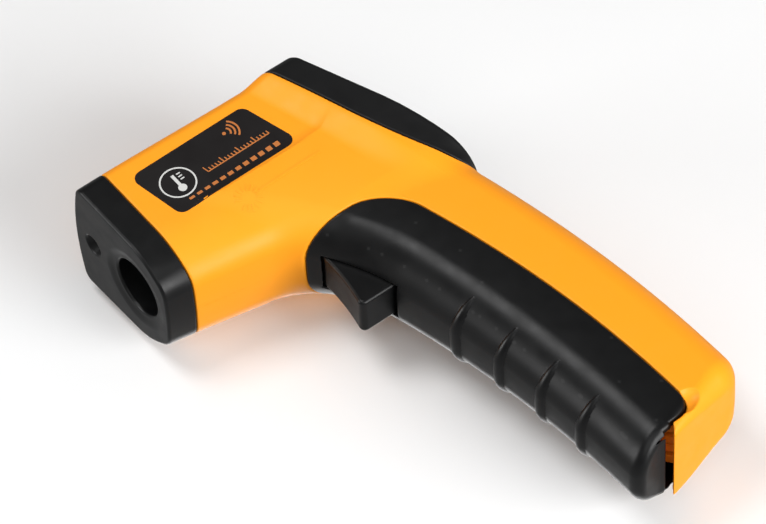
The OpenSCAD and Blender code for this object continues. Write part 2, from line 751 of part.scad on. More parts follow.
left_shell();
right_shell();
nose_cap();
rear_bezel();
display_window();
lcd_panel();
lcd_backlight();
zebra_strips();
main_board();
board_chips();
dome_switches();
mode_button();
light_button();
left_label();
right_label();
battery_door();
door_pin();
trigger();
trigger_pin();
trigger_spring();
switch_body();
switch_plunger();
switch_board();
switch_bracket();
sensor_barrel();
sensor_lens();
thermopile();
sensor_board();
laser_module();
laser_lens();
laser_collar();
battery_tray();
battery_left();
battery_right();
battery_springs();
battery_plates();
battery_leads();
sensor_leads();
laser_leads();
shell_screws();
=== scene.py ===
import json
import math

import bmesh
import bpy
import numpy as np
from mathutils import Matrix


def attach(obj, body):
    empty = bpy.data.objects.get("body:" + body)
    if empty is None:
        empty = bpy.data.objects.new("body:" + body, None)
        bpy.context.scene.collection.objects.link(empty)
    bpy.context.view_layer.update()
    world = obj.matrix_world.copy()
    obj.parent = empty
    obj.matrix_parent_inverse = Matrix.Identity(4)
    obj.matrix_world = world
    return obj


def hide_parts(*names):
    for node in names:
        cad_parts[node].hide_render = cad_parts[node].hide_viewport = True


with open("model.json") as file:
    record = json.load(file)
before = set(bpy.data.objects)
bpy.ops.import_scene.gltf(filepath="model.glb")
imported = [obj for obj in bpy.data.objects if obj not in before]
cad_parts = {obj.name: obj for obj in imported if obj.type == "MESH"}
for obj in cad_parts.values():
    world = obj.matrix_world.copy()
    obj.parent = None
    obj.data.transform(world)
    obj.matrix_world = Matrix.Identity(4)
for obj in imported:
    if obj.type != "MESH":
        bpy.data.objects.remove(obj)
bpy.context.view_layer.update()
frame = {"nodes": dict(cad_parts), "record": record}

import openvdb as vdb
from mathutils import Matrix, Vector

MM = 0.001

# ---- driving sizes, in millimetres. The nose face is at x = 0 and the middle plane at y = 0 ----

# head
NOSE_HALF_W = 17.9
HEAD_HALF_W = 21.5
HEAD_TOP = 23.4
TOP_FALL = 1.7          # the top edge sinks by this much from nose to display
TOP_CROWN = 2.36        # rise of the rounded top over its edge, at the nose
NOSE_BOTTOM = 13.1
CAP_LEN = 8.0
WALL = 2.0

# display end
FACE_WALL = 2.4
BEZEL_X = -58.6
BEZEL_SLOPE = 0.32
REAR_X = -75.4
REAR_LEAN = math.radians(20.9)
FACE_LOW = -46.0        # below this height the plane of the face turns away from the grip
WINDOW_MID = 11.5
WINDOW_W = 30.0
WINDOW_H = 19.0
WINDOW_RIM = 1.2        # width of the recess round the window
BUTTON_UP = -8.5
BUTTON_Y = 8.5
BUTTON_LONG = 11.0
BUTTON_SHORT = 7.4
BUTTON_RISE = 0.75

# grip and its cover
GRIP_END = -127.5
GRIP_REF_Z = -30.0
GRIP_HEEL_X = -69.0
GRIP_HALF_W = 16.4
GRIP_NARROWING = 2.5
END_TILT = 0.23
COVER_LIFT = 1.6        # the cover's end stands back from the grip's end by this much
COVER_END_X = -68.18    # joint between cover and housing on the end face
COVER_STOP = (-67.6, -124.9)  # the cover is cut off behind and below this corner
WINGS_LOW = -124.8
RIDGE_H = 1.0
RIDGE_HALF = 1.6
RIDGE_SHIFT = 1.1
RIDGE_Z = (-65.0, -79.2, -93.3, -107.4)
SCOOP_CENTRE = (-77.0, 15.0, -122.2)  # thumb scoop beside the cover's lower corner
SCOOP_R = 3.6
SCOOP_LONG = 1.35
SCOOP_FLAT = 1.3

# hinge of the cover
DOOR_PIVOT = (-65.45, -123.0)
SWING_R = 5.3
PIN_R = 1.25
KNUCKLE_R = 2.2
EAR_PATH = ((0.0, 0.0, 2.0), (-4.2, 6.2, 1.3), (-10.0, -0.6, 1.3))  # points and radii, from the pivot

# nose
APERTURE_R = 8.3
BARREL_R = 10.1
SPIGOT_R = 11.2
DISH_R = 12.2
DISH_DEPTH = 0.55
LASER_HOLE_R = 1.6
LASER_BARREL_R = 3.1
LASER_Z = 18.0

# trigger
TRIGGER_HALF_W = 5.8
TRIGGER_PIVOT = (-43.8, -16.6)
TRIGGER_TIP_Z = -43.9
TRIGGER_ROOT_Z = -15.0
TRIGGER_POST_R = 3.0
SLOT_HALF_W = 6.15
SLOT_LOW = -45.1

# joints and screws
JOINT_GAP = 0.25
LAP = 0.3               # each housing half reaches past the middle plane by this much
SCREW_SPOTS = ((-30.0, -14.6), (-50.0, 17.0), (-84.5, -52.0), (-88.0, -117.0))
SCREW_POST_R = 2.9
SCREW_BORE_R = 1.32
SCREW_SINK_R = 2.7
SCREW_SINK_Y = 9.0


# ---- shaping functions ----

def ease(t):
    """Smooth step from 0 to 1."""
    c = np.clip(t, 0.0, 1.0)
    return c * c * (3.0 - 2.0 * c)


def round_max(a, b, r):
    """Intersection of two fields with the edge between them rounded to radius r."""
    return np.minimum(-r, np.maximum(a, b)) + np.hypot(np.maximum(a + r, 0.0), np.maximum(b + r, 0.0))


def soft_max(a, b, k):
    """Intersection with a broad, soft edge."""
    h = np.maximum(k - np.abs(a - b), 0.0) / k
    return np.maximum(a, b) + h * h * k * 0.25


def soft_min(a, b, k):
    """Union with a broad, soft inside corner."""
    return -soft_max(-a, -b, k)


def beyond(u, v, u0, v0, u1, v1):
    """Distance to the right of the line from (u0, v0) to (u1, v1)."""
    du, dv = u1 - u0, v1 - v0
    return ((u - u0) * dv - (v - v0) * du) / np.hypot(du, dv)


# ---- the outer form ----

def head_station(x, z):
    """Station along the head: 0 at the nose face, 1 at the joint with the rear bezel."""
    z = np.maximum(z, -40.0)
    s = np.clip(x / BEZEL_X, 0.0, 1.42)
    for _ in range(6):
        s = np.clip((BEZEL_SLOPE * ease(s) * (z - HEAD_TOP + TOP_FALL) - x) / -BEZEL_X, 0.0, 1.42)
    return s


def head(x, ay, z):
    """Field of the head, whose section changes from nose to display."""
    s = head_station(x, z)
    along = np.minimum(s, 1.0)
    flare = ease((s - 0.86) / 0.14)
    side = NOSE_HALF_W + 1.6 * along
    top_w = side + (HEAD_HALF_W - NOSE_HALF_W - 1.6) * flare
    mid_w = side - 0.9 + (HEAD_HALF_W - NOSE_HALF_W - 0.9) * flare
    drop = NOSE_BOTTOM + 14.5 * along ** 1.25
    low_w = 10.8 + 4.0 * along
    shoulder = -3.8 - 11.0 * along
    top = HEAD_TOP - TOP_FALL * ease(s)
    crown = (HEAD_TOP + TOP_CROWN - 0.4 * ease(s) - top) * (1.0 - np.minimum(ay / top_w, 1.1) ** 2)
    upper = beyond(ay, z, mid_w, shoulder, top_w, top)
    lower = beyond(ay, z, low_w, -drop, mid_w, shoulder)
    under = -(z + drop + 0.7 * (1.0 - np.minimum(ay / low_w, 1.2) ** 2))
    soft = 2.6 + 3.0 * along
    wall = soft_max(soft_max(upper, lower, soft), under, soft)
    return round_max(wall, z - top - crown, 2.6)


def grip_half_w(z):
    return GRIP_HALF_W - GRIP_NARROWING * np.clip((-22.0 - z) / 100.0, 0.0, 1.0) ** 0.8


def grip_front(z):
    """How far forward the grip reaches at a height."""
    u = GRIP_REF_Z - z
    return -43.6 - 0.285 * u + 0.0015 * u * u + 4.5 * np.maximum(0.0, (z + 45.0) / 23.0) ** 2


def grip(x, ay, z, end_lift, end_r):
    """Field of the grip, which curves back and narrows towards its end."""
    zc = np.minimum(z, 0.0)
    u = GRIP_REF_Z - zc
    front = grip_front(zc)
    back = -84.75 - 0.262 * u + 0.0015 * u * u
    w = grip_half_w(zc)
    widest = front - 0.55 * (front - back)
    ahead = np.clip((x - widest) / (front - 1.4 - widest), 0.0, 1.3)
    behind = np.clip((widest - x) / (widest - back - 1.0), 0.0, 1.3)
    side = ay - w * (1.0 - 0.14 * ahead ** 2 - 0.05 * behind ** 2)
    nose = x - front + 1.4 * (ay / (0.86 * w)) ** 2
    tail = back + (ay / (0.95 * w)) ** 2 - x
    section = round_max(round_max(side, nose, 9.0), tail, 7.5)
    end = GRIP_END + end_lift + END_TILT * np.maximum(0.0, GRIP_HEEL_X - x) - z
    heel = ease((GRIP_HEEL_X - x) / 20.0)
    return np.maximum(round_max(section, end, end_r + (6.0 - end_r) * heel), z + 4.0)


def rear_out(x, z):
    """Height over the leaning display face. Below the face it falls away, clear of the grip."""
    up = np.maximum(z, FACE_LOW)
    return -math.cos(REAR_LEAN) * (x - REAR_X) + math.sin(REAR_LEAN) * up - 2.0 * (up - z)


def rear_up(x, z):
    """Distance up the leaning display face."""
    return math.sin(REAR_LEAN) * (x - REAR_X) + math.cos(REAR_LEAN) * z


def body(x, y, z, end_lift=0.0, end_r=2.2):
    """Field of the whole outer form."""
    ay = np.abs(y)
    form = soft_min(head(x, ay, z), grip(x, ay, z, end_lift, end_r), 6.0)
    return round_max(form, rear_out(x, z), 1.4)


# ---- joint lines, seen from the side ----

def rod(u, v, spot, r):
    """Field of an endless round rod seen end on."""
    return np.hypot(u - spot[0], v - spot[1]) - r


def bezel_zone(x, z):
    """Negative behind the joint between housing and display frame."""
    t = z + 1.4
    bend = np.where(t > 0, 0.00128, -0.0085)
    lean = (x + 66.2 - 0.312 * t - bend * t * t) / np.hypot(1.0, 0.312 + 2.0 * bend * t)
    tail = -34.2 + 4.8 * ((x + 90.0) / 14.0) ** 2 - z
    return round_max(lean, tail, 5.0)


def door_zone(x, z):
    """Negative where the grip cover is. Its lower joint is an arc about the hinge."""
    v = -46.0 - z
    flank = 0.967 * (-67.6 - 0.262 * v + 0.00175 * v * v - x)
    above = round_max(flank, z + 23.0 - 0.1 * (x + 45.0), 10.0)
    wings = round_max(above, WINGS_LOW - z, 5.0)
    swept = np.minimum(COVER_END_X - x, rod(x, z, DOOR_PIVOT, SWING_R))
    tongue = np.maximum(np.maximum(above, swept), z + 110.0)
    return np.minimum(wings, tongue)


# ---- fields of the moulded pieces ----

def ears(x, y, z):
    """Two ears of one shell half that carry the cover's hinge pin."""
    arms = []
    for start, stop in zip(EAR_PATH, EAR_PATH[1:]):
        du, dv = stop[0] - start[0], stop[1] - start[1]
        u, v = x - DOOR_PIVOT[0] - start[0], z - DOOR_PIVOT[1] - start[1]
        t = np.clip((u * du + v * dv) / (du * du + dv * dv), 0.0, 1.0)
        arms.append(np.hypot(u - t * du, v - t * dv) - start[2] - t * (stop[2] - start[2]))
    profile = np.maximum(np.minimum(*arms), -rod(x, z, DOOR_PIVOT, PIN_R + 0.08))
    return round_max(profile, np.minimum(np.abs(y - 1.7), np.abs(y - 6.1)) - 1.5, 0.15)


def at_screws(x, z, r):
    """Rods of one radius at the four screws."""
    return np.minimum.reduce([rod(x, z, spot, r) for spot in SCREW_SPOTS])


def thumb_scoop(x, y, z):
    """Positive inside the scoop where a thumbnail goes in."""
    cx, cy, cz = SCOOP_CENTRE
    u, v = (x - cx) / SCOOP_LONG, SCOOP_FLAT * (np.abs(y) - cy)
    return SCOOP_R - np.sqrt(u ** 2 + v ** 2 + (z - cz) ** 2)


def shell_field(side):
    """Field of one orange housing half: side is 1 for the left and -1 for the right."""
    def field(x, y, z):
        skin = body(x, y, z)
        outer = round_max(skin, x + CAP_LEN + JOINT_GAP / 2, 0.35)
        outer = round_max(outer, -bezel_zone(x, z), 0.35)
        outer = round_max(outer, thumb_scoop(x, y, z), 0.2)
        outer = round_max(outer, -door_zone(x, z), 0.3)
        shell = np.maximum(outer, -(skin + WALL))
        posts = np.minimum(at_screws(x, z, SCREW_POST_R), rod(x, z, TRIGGER_PIVOT, TRIGGER_POST_R))
        beside_trigger = rod(x, z, TRIGGER_PIVOT, 2 * TRIGGER_POST_R) < 0
        posts = np.maximum(posts, np.where(beside_trigger, TRIGGER_HALF_W + 0.4 - side * y, -9.0))
        shell = np.minimum(shell, np.maximum(np.maximum(posts, skin + 0.6), outer + 0.05))
        bores = np.maximum(at_screws(x, z, SCREW_BORE_R), np.abs(y) - SCREW_SINK_Y)
        shell = np.maximum(shell, -bores)
        shell = round_max(shell, -np.maximum(at_screws(x, z, SCREW_SINK_R), y + SCREW_SINK_Y), 0.2)
        shell = np.minimum(shell, ears(x, side * y, z))
        return np.maximum(shell, -LAP - side * y)
    return field


def nose_cap_field(x, y, z):
    """Field of the black nose cap with its dished aperture and the cone of the laser."""
    r = np.hypot(y, z)
    laser_r = np.hypot(y, z - LASER_Z)
    dish = DISH_DEPTH * ease((DISH_R - r) / 3.4)
    outer = round_max(head(x, np.abs(y), z), x + dish, 0.8)
    outer = round_max(outer, -x - CAP_LEN + JOINT_GAP / 2, 0.3)
    spigot = np.maximum(np.maximum(r - SPIGOT_R, -x - CAP_LEN - 3.0), x + CAP_LEN - 1.0)
    solid = np.minimum(outer, spigot)
    solid = round_max(solid, APERTURE_R - r, 0.7)
    solid = np.maximum(solid, -np.maximum(r - BARREL_R, x + 7.5))
    cone = laser_r - LASER_HOLE_R - np.maximum(0.0, x + 2.2) * 0.72
    solid = round_max(solid, -0.8 * cone, 0.25)
    return np.maximum(solid, -np.maximum(laser_r - LASER_BARREL_R, x + 5.4))


def rounded_box(u, v, half_u, half_v, r):
    """Field of a rectangle with corners of radius r."""
    a, b = np.abs(u) - half_u + r, np.abs(v) - half_v + r
    return np.hypot(np.maximum(a, 0.0), np.maximum(b, 0.0)) + np.minimum(np.maximum(a, b), 0.0) - r


def button_oval(x, y, z, margin):
    """Field of the two buttons' outlines, widened by a margin."""
    straight = (BUTTON_LONG - BUTTON_SHORT) / 2
    over = np.maximum(np.abs(np.abs(y) - BUTTON_Y) - straight, 0.0)
    return np.hypot(over, rear_up(x, z) - BUTTON_UP) - BUTTON_SHORT / 2 - margin


def rear_bezel_field(x, y, z):
    """Field of the black frame with the window, the button panel and the two button openings."""
    skin = body(x, y, z)
    out, up = rear_out(x, z), rear_up(x, z)
    outer = round_max(skin, bezel_zone(x, z) + JOINT_GAP, 0.4)
    solid = np.maximum(outer, -np.maximum(skin + WALL, out + FACE_WALL))
    recess = rounded_box(up - WINDOW_MID, y, WINDOW_H / 2 + WINDOW_RIM, WINDOW_W / 2 + WINDOW_RIM, WINDOW_RIM)
    recess = np.maximum(recess, -1.5 - out)
    opening = rounded_box(up - WINDOW_MID, y, WINDOW_H / 2, WINDOW_W / 2, 0.8)
    panel = np.maximum(rounded_box(up - BUTTON_UP, y, 6.2, 16.6, 5.0), -0.45 - out)
    solid = round_max(solid, -recess, 0.35)
    solid = round_max(solid, -panel, 0.35)
    solid = np.maximum(solid, -opening)
    return round_max(solid, -button_oval(x, y, z, 0.2), 0.25)


def ridges(y, z):
    """Rise of the four finger ridges over the grip cover: crescents that taper to a point."""
    reach = 0.85 * grip_half_w(z)
    taper = np.sqrt(np.clip(1.0 - (y / reach) ** 2, 0.0, 1.0))
    rise = np.zeros_like(z)
    for ridge_z in RIDGE_Z:
        off = (z - ridge_z - RIDGE_SHIFT) / (RIDGE_HALF * taper + 0.05)
        rise += RIDGE_H * taper * np.clip(1.0 - off * off, 0.0, 1.0) ** 0.6
    return rise


def battery_door_field(x, y, z):
    """Field of the black grip cover with its ridges, hinge knuckles and trigger slot."""
    skin = body(x, y, z, end_lift=COVER_LIFT * ease((-58.0 - x) / 8.0), end_r=3.4)
    edge = 0.45 + 0.7 * ease((-119.0 - z) / 5.0)
    outer = round_max(skin - ridges(y, z), door_zone(x, z) + JOINT_GAP, edge)
    # at the end the cover stops short, so that the cut edge of the housing shows
    outer = round_max(outer, np.minimum(COVER_STOP[0] - x, COVER_STOP[1] - z), 0.6)
    solid = np.maximum(outer, -(body(x, y, z) + WALL))
    knuckle = np.maximum(rod(x, z, DOOR_PIVOT, KNUCKLE_R), np.abs(np.abs(y) - 9.8) - 1.8)
    solid = np.minimum(solid, np.maximum(knuckle, skin + 0.05))
    slot = np.maximum(np.abs(y) - SLOT_HALF_W, SLOT_LOW - z)
    behind = np.maximum(x + 39.4, z + 18.2)
    solid = round_max(solid, -np.maximum(slot, np.minimum(behind, z + 26.3)), 0.3)
    relief = np.maximum(np.abs(y) - 7.95, np.maximum(np.abs(x + 67.1) - 4.35, np.abs(z + 121.25) - 4.0))
    solid = np.maximum(solid, -relief)
    return np.maximum(solid, -np.maximum(rod(x, z, DOOR_PIVOT, PIN_R + 0.09), np.abs(y) - 10.7))


def trigger_field(x, y, z):
    """Field of the trigger: a blade with a hollowed front, and the barrel round its pivot."""
    hollow_face = 0.55 * np.clip(1.0 - ((z + 35.0) / 8.5) ** 2, 0.0, 1.0)
    front = beyond(x, z, -37.7, TRIGGER_TIP_Z, -41.2, TRIGGER_ROOT_Z) + hollow_face
    rear_upper = beyond(x, z, -46.6, TRIGGER_ROOT_Z, -47.6, -28.0)
    rear_lower = beyond(x, z, -47.6, -28.0, -50.2, TRIGGER_TIP_Z)
    outline = round_max(front, np.minimum(rear_upper, rear_lower), 0.8)
    outline = round_max(outline, TRIGGER_TIP_Z - z, 2.0)
    outline = np.maximum(outline, z - TRIGGER_ROOT_Z)
    blade = round_max(outline, np.abs(y) - TRIGGER_HALF_W, 0.9)
    barrel = round_max(rod(x, z, TRIGGER_PIVOT, TRIGGER_POST_R), np.abs(y) - TRIGGER_HALF_W, 0.3)
    solid = np.minimum(blade, barrel)
    pocket = np.maximum(np.abs(y) - 4.2, np.maximum(x + 42.5, np.maximum(-43.2 - z, z + 32.2)))
    solid = np.maximum(solid, -pocket)
    return np.maximum(solid, -rod(x, z, TRIGGER_PIVOT, PIN_R + 0.05))


def button_field(side):
    """Field of one push button, with raised dots that tell the two apart by touch."""
    def field(x, y, z):
        out, up = rear_out(x, z), rear_up(x, z) - BUTTON_UP
        across = y - side * BUTTON_Y
        dome = 0.35 * (1.0 - np.clip((across / 5.5) ** 2 + (up / 3.7) ** 2, 0.0, 1.0))
        oval = button_oval(x, y, z, 0.0)
        cap = round_max(oval, np.maximum(out - BUTTON_RISE - dome, -3.0 - out), 0.5)
        spots = (0.0,) if side > 0 else (-1.3, 1.3)
        away = up ** 2 + (out - BUTTON_RISE) ** 2
        dots = np.minimum.reduce([np.sqrt((across - s) ** 2 + away) - 0.75 for s in spots])
        flange = np.maximum(oval - 1.2, np.maximum(out + 2.9, -3.9 - out))
        return np.minimum(np.minimum(cap, dots), flange)
    return field


# ---- from field to mesh ----

def sample(field, low, high, voxel, ratio=4):
    """Field values on a grid, worked out finely only near the surface."""
    cells = np.ceil((np.array(high) - low) / (voxel * ratio)).astype(int)
    low = np.array(low, float)
    axes = [low[i] + (np.arange(cells[i]) + 0.5) * voxel * ratio - voxel / 2 for i in range(3)]
    coarse = field(*[g.ravel() for g in np.meshgrid(*axes, indexing="ij")]).reshape(cells)
    grid = coarse.astype(np.float32)
    for axis in range(3):
        grid = np.repeat(grid, ratio, axis)
    near = np.argwhere(np.abs(coarse) < voxel * ratio * 1.5 + 0.3)
    steps = np.stack(np.meshgrid(*[np.arange(ratio)] * 3, indexing="ij"), -1).reshape(-1, 3)
    for part in np.array_split(near, max(1, len(near) // 5000)):
        index = (part[:, None] * ratio + steps).reshape(-1, 3)
        p = low + index * voxel
        grid[index[:, 0], index[:, 1], index[:, 2]] = field(p[:, 0], p[:, 1], p[:, 2])
    return grid, low


def slope(field, p, step):
    """Gradient of a field at points, by central differences."""
    g = np.empty_like(p)
    for i in range(3):
        d = np.zeros(3)
        d[i] = step
        g[:, i] = (field(*(p + d).T) - field(*(p - d).T)) / (2 * step)
    return g


def settle(field, p, voxel):
    """Moves points onto the field's surface."""
    for _ in range(2):
        value, g = field(*p.T), slope(field, p, 0.04)
        step = value[:, None] * g / np.maximum((g * g).sum(1), 0.2)[:, None]
        length = np.linalg.norm(step, axis=1, keepdims=True)
        p = p - step * np.minimum(1.0, 0.5 * voxel / np.maximum(length, 1e-9))
    return p


def mesh_object(name, points, faces, normals=None):
    """A smooth object from points in millimetres and faces that all have the same number of corners."""
    mesh = bpy.data.meshes.new(name)
    count, corners = len(faces), faces.shape[1]
    mesh.vertices.add(len(points))
    mesh.vertices.foreach_set("co", (points * MM).astype(np.float32).ravel())
    mesh.loops.add(count * corners)
    mesh.loops.foreach_set("vertex_index", faces.astype(np.int32).ravel())
    mesh.polygons.add(count)
    mesh.polygons.foreach_set("loop_start", np.arange(0, count * corners, corners, dtype=np.int32))
    mesh.update(calc_edges=True)
    mesh.validate()
    mesh.shade_smooth()
    if normals is not None:
        mesh.normals_split_custom_set_from_vertices(normals.tolist())
    made = bpy.data.objects.new(name, mesh)
    bpy.context.scene.collection.objects.link(made)
    return made


def grow(name, field, low, high, voxel):
    """The surface of a field inside a box, as an object."""
    voxel = voxel * 1.0
    grid, low = sample(field, low, high, voxel)
    volume = vdb.FloatGrid(float(abs(grid).max()))
    volume.copyFromArray(grid)
    points, quads = volume.convertToQuads(isovalue=0.0)
    points = settle(field, low + points.astype(float) * voxel, voxel)
    normals = slope(field, points, 0.06)
    normals /= np.maximum(np.linalg.norm(normals, axis=1, keepdims=True), 1e-9)
    return mesh_object(name, points, quads, normals)


# ---- printed and raised graphics ----

def on_panel(side):
    """Places flat (x, z) points on the head's side panel, at a level over its surface."""
    def place(flat, level):
        x, z = flat[:, 0], flat[:, 1]
        y = np.full(len(flat), NOSE_HALF_W)
        for _ in range(5):
            value = body(x, y, z) - level
            y = y - value / ((body(x, y + 0.05, z) - body(x, y - 0.05, z)) / 0.1)
        return np.stack([x, side * y, z], 1)
    return place


def on_display(flat, level):
    """Places flat (left, up) points over the leaning display face."""
    up = flat[:, 1]
    x = REAR_X + up * math.sin(REAR_LEAN) - level * math.cos(REAR_LEAN)
    z = up * math.cos(REAR_LEAN) + level * math.sin(REAR_LEAN)
    return np.stack([x, flat[:, 0], z], 1)


def ribbon(path, width, place, low, high, closed=False):
    """A thin strip of the given width along a flat path."""
    path = np.array(path, float)
    ahead = np.roll(path, -1, 0) - path
    if not closed:
        ahead[-1] = ahead[-2]
    back = np.roll(ahead, 1, 0)
    if not closed:
        back[0] = ahead[0]
    along = ahead / np.linalg.norm(ahead, axis=1)[:, None] + back / np.linalg.norm(back, axis=1)[:, None]
    along /= np.linalg.norm(along, axis=1)[:, None]
    off = np.stack([-along[:, 1], along[:, 0]], 1) * width / 2
    rows = [place(path + off, high), place(path - off, high), place(path - off, low), place(path + off, low)]
    n = len(path)
    points = np.concatenate(rows)
    faces = []
    for r in range(4):
        for i in range(n if closed else n - 1):
            k = (i + 1) % n
            faces.append((r * n + i, r * n + k, (r + 1) % 4 * n + k, (r + 1) % 4 * n + i))
    if not closed:
        faces += [(0, n, 2 * n, 3 * n), (4 * n - 1, 3 * n - 1, 2 * n - 1, n - 1)]
    return points, faces


def patch(outline, place, low, high, rings=12):
    """A thin filled sheet inside a flat outline that is star-shaped about its centre."""
    outline = np.array(outline, float)
    centre = outline.mean(0)
    n = len(outline)
    flat = np.concatenate([[centre]] + [centre + (outline - centre) * (j + 1) / rings for j in range(rings)])
    points = np.concatenate([place(flat, high), place(flat, low)])
    m = len(flat)
    faces = []
    for base in (0, m):
        for i in range(n):
            k = (i + 1) % n
            faces.append((base, base + 1 + i, base + 1 + k))
            for j in range(rings - 1):
                a = base + 1 + j * n
                faces.append((a + i, a + n + i, a + n + k, a + k))
    rim = 1 + (rings - 1) * n
    faces += [(rim + i, m + rim + i, m + rim + (i + 1) % n, rim + (i + 1) % n) for i in range(n)]
    return points, faces


def assemble(name, parts):
    """One object from thin closed parts, with their faces turned outwards."""
    points, faces, base = [], [], 0
    for p, f in parts:
        points.append(p)
        faces += [tuple(base + i for i in face) for face in f]
        base += len(p)
    mesh = bpy.data.meshes.new(name)
    mesh.from_pydata((np.concatenate(points) * MM).tolist(), [], faces)
    work = bmesh.new()
    work.from_mesh(mesh)
    bmesh.ops.recalc_face_normals(work, faces=work.faces)
    work.to_mesh(mesh)
    work.free()
    made = bpy.data.objects.new(name, mesh)
    bpy.context.scene.collection.objects.link(made)
    return made


def arc(centre, r, start, stop, steps):
    """Flat points round an arc, between two angles in degrees."""
    a = np.radians(np.linspace(start, stop, steps))
    return np.stack([centre[0] + r * np.cos(a), centre[1] + r * np.sin(a)], 1)


def line(a, b, steps=2):
    return np.linspace(a, b, steps)


def rounded_outline(corners, r, steps=10):
    """Outline with each corner rounded to radius r."""
    corners = [np.array(c, float) for c in corners]
    points = []
    for i, corner in enumerate(corners):
        u = corners[i - 1] - corner
        v = corners[(i + 1) % len(corners)] - corner
        u, v = u / np.linalg.norm(u), v / np.linalg.norm(v)
        half = math.acos(float(u @ v)) / 2
        middle = corner + (u + v) / np.linalg.norm(u + v) * r / math.sin(half)
        first, last = corner + u * r / math.tan(half) - middle, corner + v * r / math.tan(half) - middle
        a0, a1 = math.atan2(first[1], first[0]), math.atan2(last[1], last[0])
        sweep = (a1 - a0 + math.pi) % (2 * math.pi) - math.pi
        for t in np.linspace(0, 1, steps):
            points.append(middle + r * np.array([math.cos(a0 + sweep * t), math.sin(a0 + sweep * t)]))
    dense = []
    for i, p in enumerate(points):
        q = points[(i + 1) % len(points)]
        pieces = max(1, int(np.linalg.norm(q - p) / 1.5))
        dense += [p + (q - p) * k / pieces for k in range(pieces)]
    return dense


LABEL_CORNERS = ((-12.2, 17.2), (-47.6, 17.2), (-52.4, -0.4), (-15.6, -0.4))
LABEL_SLANT = 0.2
PRINT_LEVELS = (-0.05, 0.09)  # underside and top of a printed strip, over the panel
BURST_CENTRE = (-31.7, -6.8)
MARK_LEVELS = (-0.3, 0.1)


def label_point(back, z):
    """A point of the label's artwork: distance back from its front edge, and height."""
    return (-15.5 - back + LABEL_SLANT * z, z)


def label_emblem(place):
    """Ring with a thermometer pictogram."""
    centre = label_point(7.0, 8.2)
    stem_top, bulb = (centre[0], centre[1] + 2.7), (centre[0], centre[1] - 2.0)
    parts = [ribbon(arc(centre, 4.6, 0, 360, 49)[:-1], 0.42, place, *PRINT_LEVELS, closed=True)]
    parts.append(patch(arc(bulb, 1.15, 0, 360, 33)[:-1], place, *PRINT_LEVELS, rings=3))
    parts.append(ribbon(line(bulb, stem_top, 6), 0.85, place, -0.05, 0.088))
    for k in range(3):
        height = centre[1] + 0.4 + 0.95 * k
        mark = line((centre[0] - 1.1, height), (centre[0] - 2.2, height))
        parts.append(ribbon(mark, 0.36, place, *PRINT_LEVELS))
    return parts


def label_scale(place):
    """Radiating arcs, a graduated scale and a row of graded bars."""
    parts = []
    for r in (1.4, 2.5, 3.6):
        parts.append(ribbon(arc(label_point(26.5, 13.2), r, 130, 230, 13), 0.5, place, *PRINT_LEVELS))
    parts.append(patch(arc(label_point(26.1, 13.2), 0.5, 0, 360, 17)[:-1], place, *PRINT_LEVELS, rings=2))
    parts.append(ribbon(line(label_point(14.5, 6.1), label_point(33.5, 6.1), 12), 0.32, place, -0.05, 0.085))
    for k in range(20):
        back, tall = 14.5 + k, 1.9 if k % 5 == 0 else 1.1
        tick = line(label_point(back, 6.1), label_point(back, 6.1 + tall), 3)
        parts.append(ribbon(tick, 0.3, place, *PRINT_LEVELS))
    for k in range(12):
        back, tall = 5.0 + 2.4 * k, 0.7 + 0.07 * k
        bar = line(label_point(back, 2.2), label_point(back + 1.5, 2.2), 3)
        parts.append(ribbon(bar, tall, place, *PRINT_LEVELS))
    return parts


def beam_mark(place):
    """Moulded ray burst with a long beam line under the label."""
    cx, cz = BURST_CENTRE
    parts = []
    for a in range(20, 341, 24):
        c, s = math.cos(math.radians(a)), math.sin(math.radians(a))
        ray = line((cx + 1.9 * c, cz + 1.9 * s), (cx + 3.7 * c, cz + 3.7 * s), 4)
        parts.append(ribbon(ray, 0.42, place, *MARK_LEVELS))
    parts.append(ribbon(line((cx - 3.2, cz), (-54.0, cz), 20), 0.6, place, *MARK_LEVELS))
    return parts


# Which of the seven segments each shown digit lights, in this order: top, upper left, upper right, middle,
# lower left, lower right, bottom
SEGMENTS = {2: "1011101", 5: "1101011", 4: "0111010"}


def display_digits():
    """Seven-segment digits and a decimal point on the display glass."""
    half_w, half_h, pitch, first, levels = 2.3, 3.1, 7.6, 8.0, (-3.02, -2.92)
    mid = WINDOW_MID
    top, base = mid + 2 * half_h, mid - 2 * half_h
    parts = []
    for k, digit in enumerate((2, 5, 4)):
        left, right = first - pitch * k + half_w, first - pitch * k - half_w
        ends = [((left, top), (right, top)), ((left, top), (left, mid)), ((right, top), (right, mid)),
                ((left, mid), (right, mid)), ((left, mid), (left, base)), ((right, mid), (right, base)),
                ((left, base), (right, base))]
        for lit, (a, b) in zip(SEGMENTS[digit], ends):
            if lit == "1":
                a, b = np.array(a), np.array(b)
                inset = (b - a) / np.linalg.norm(b - a) * 0.55
                parts.append(ribbon(line(a + inset, b - inset), 0.95, on_display, *levels))
    dot = (first - pitch * 1.5 + 0.2, base)
    parts.append(patch(arc(dot, 0.55, 0, 360, 17)[:-1], on_display, *levels, rings=2))
    return parts


# ---- finishes ----

